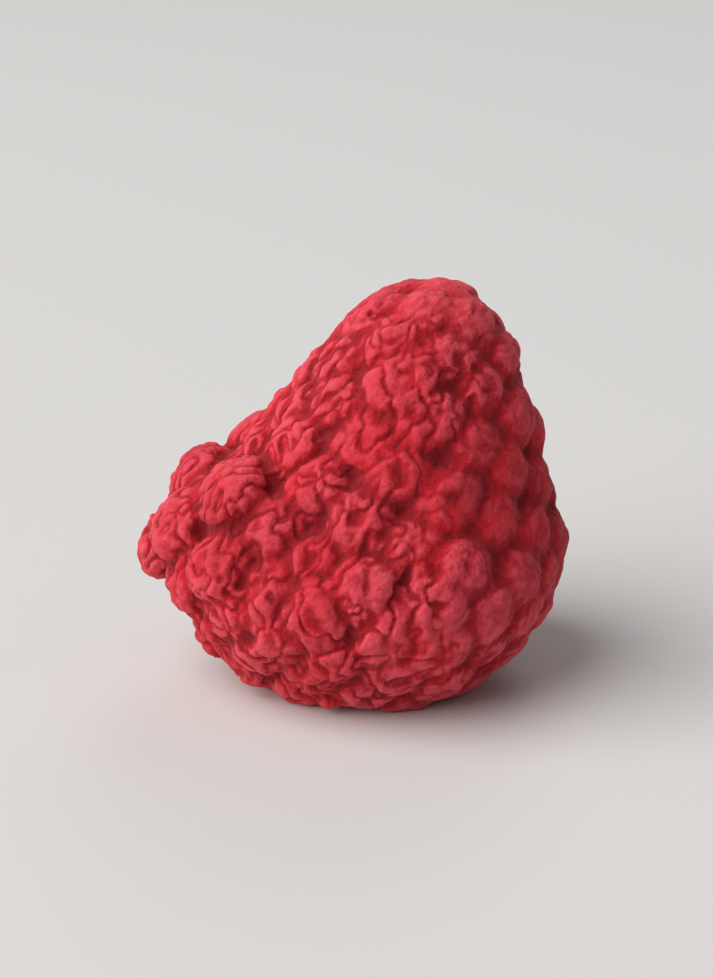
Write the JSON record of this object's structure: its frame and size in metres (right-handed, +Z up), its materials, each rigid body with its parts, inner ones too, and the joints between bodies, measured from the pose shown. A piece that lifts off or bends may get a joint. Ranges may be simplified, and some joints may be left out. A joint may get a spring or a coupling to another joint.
{
  "type": "raspberry",
  "caption": "Freeze-dried raspberry: a hollow, conical fruit of small fused drupelets, standing on the rim of its hollow with the tip up.",
  "frame": {"origin": "on the surface that the fruit stands on, under the middle of its box", "axes": "+Z up through the fruit towards its tip, +X across its width towards the side that the tip leans to, +Y towards its back"},
  "size_m": [0.0172, 0.0152, 0.0165],
  "materials": {
    "dried_flesh": "matte"
  },
  "bodies": {
    "root": {"raspberry": "dried_flesh"}
  },
  "joints": []
}
